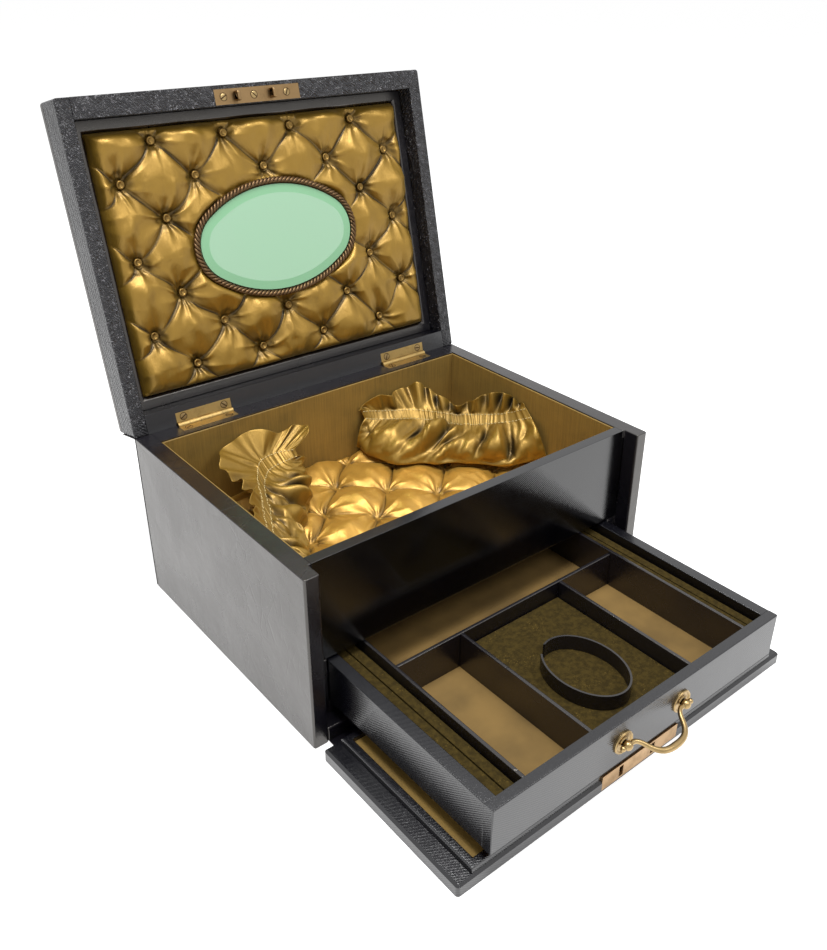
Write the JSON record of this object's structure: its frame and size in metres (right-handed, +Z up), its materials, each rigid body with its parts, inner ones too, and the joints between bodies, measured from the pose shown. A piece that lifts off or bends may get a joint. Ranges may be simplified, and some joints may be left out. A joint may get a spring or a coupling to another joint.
{
  "type": "vanity box",
  "caption": "Leather-covered vanity box with a lift-up lid holding an oval mirror, a lined compartment, a fitted drawer and a fold-down front flap.",
  "frame": {"origin": "centre of the carcass underside, on the surface it stands on", "axes": "+X to the box's right, +Y to the back, +Z up; the lid stands open, the drawer is drawn towards -Y and the flap lies open under it"},
  "size_m": [0.28, 0.4317, 0.3306],
  "materials": {
    "black_leather": "fine-grained, slightly glossy, worn grey at the edges",
    "gold_silk": "flat silk lining, satin",
    "gold_satin": "buttoned and gathered satin, lustrous",
    "gold_paper": "matt gilt paper lining",
    "olive_velvet": "short pile velvet",
    "brass": "aged, lacquered",
    "gilt_button": "dull gilt",
    "gilt_rope": "twisted gilt cord, dark in the grooves",
    "mirror": "bevelled silvered glass",
    "wood": "plain"
  },
  "bodies": {
    "carcass": {"side_panel_left": "black_leather", "side_panel_right": "black_leather", "back_panel": "black_leather", "base_board": "black_leather", "front_panel": "black_leather", "compartment_floor": "wood", "drawer_bed": "black_leather", "drawer_guides": "black_leather", "lining_left": "gold_silk", "lining_right": "gold_silk", "lining_back": "gold_silk", "lining_front": "gold_silk", "bottom_pad": "gold_satin", "pocket_left": "gold_satin", "pocket_right": "gold_satin", "flap_hinge_strip": "black_leather", "hinge_body_leaves": "brass", "hinge_pins": "brass", "hinge_body_screws": "brass"},
    "lid": {"lid_top": "black_leather", "lid_side_left": "black_leather", "lid_side_right": "black_leather", "lid_front_rail": "black_leather", "lid_back_rail": "black_leather", "lid_backing": "wood", "lid_inner_frame": "black_leather", "lid_pad": "gold_satin", "tuft_buttons": "gilt_button", "mirror_block": "wood", "mirror_glass": "mirror", "mirror_frame": "gilt_rope", "hinge_lid_leaves": "brass", "hinge_lid_screws": "brass", "catch_plate": "brass", "catch_staples": "brass", "catch_screws": "brass"},
    "drawer": {"drawer_front": "black_leather", "drawer_back": "black_leather", "drawer_side_left": "black_leather", "drawer_side_right": "black_leather", "drawer_bottom": "wood", "long_dividers": "black_leather", "cross_divider": "black_leather", "centre_dividers": "black_leather", "drawer_floor_papers": "gold_paper", "ring_roll_left": "olive_velvet", "ring_roll_right": "olive_velvet", "bracelet_pad": "olive_velvet", "bracelet_band": "black_leather", "handle_posts": "brass", "handle_nuts": "brass"},
    "bail": {"handle_bail": "brass"},
    "flap": {"flap_board": "black_leather", "flap_frame": "black_leather", "flap_lining": "gold_silk", "lock_case": "brass", "lock_plate": "brass", "escutcheon": "brass"},
    "bolt": {"lock_bolt": "brass"}
  },
  "joints": [
    {"name": "lid_hinge", "type": "hinge", "parent": "carcass", "child": "lid", "pos_m": [0, 0.104, 0.12], "axis": [1, 0, 0], "range_deg": [0, 102.7]},
    {"name": "drawer_slide", "type": "slide", "parent": "carcass", "child": "drawer", "axis": [0, 1, 0], "range_m": [0, 0.1415]},
    {"name": "handle_swing", "type": "hinge", "parent": "drawer", "child": "bail", "pos_m": [0.0015, -0.2377, 0.0335], "axis": [1, 0, 0], "range_deg": [-105, 68]},
    {"name": "flap_hinge", "type": "hinge", "parent": "carcass", "child": "flap", "pos_m": [0, -0.112, 0], "axis": [-1, 0, 0], "range_deg": [0, 2.6]},
    {"name": "bolt_slide", "type": "slide", "parent": "flap", "child": "bolt", "axis": [-1, 0, 0], "range_m": [0, 0.005]}
  ]
}
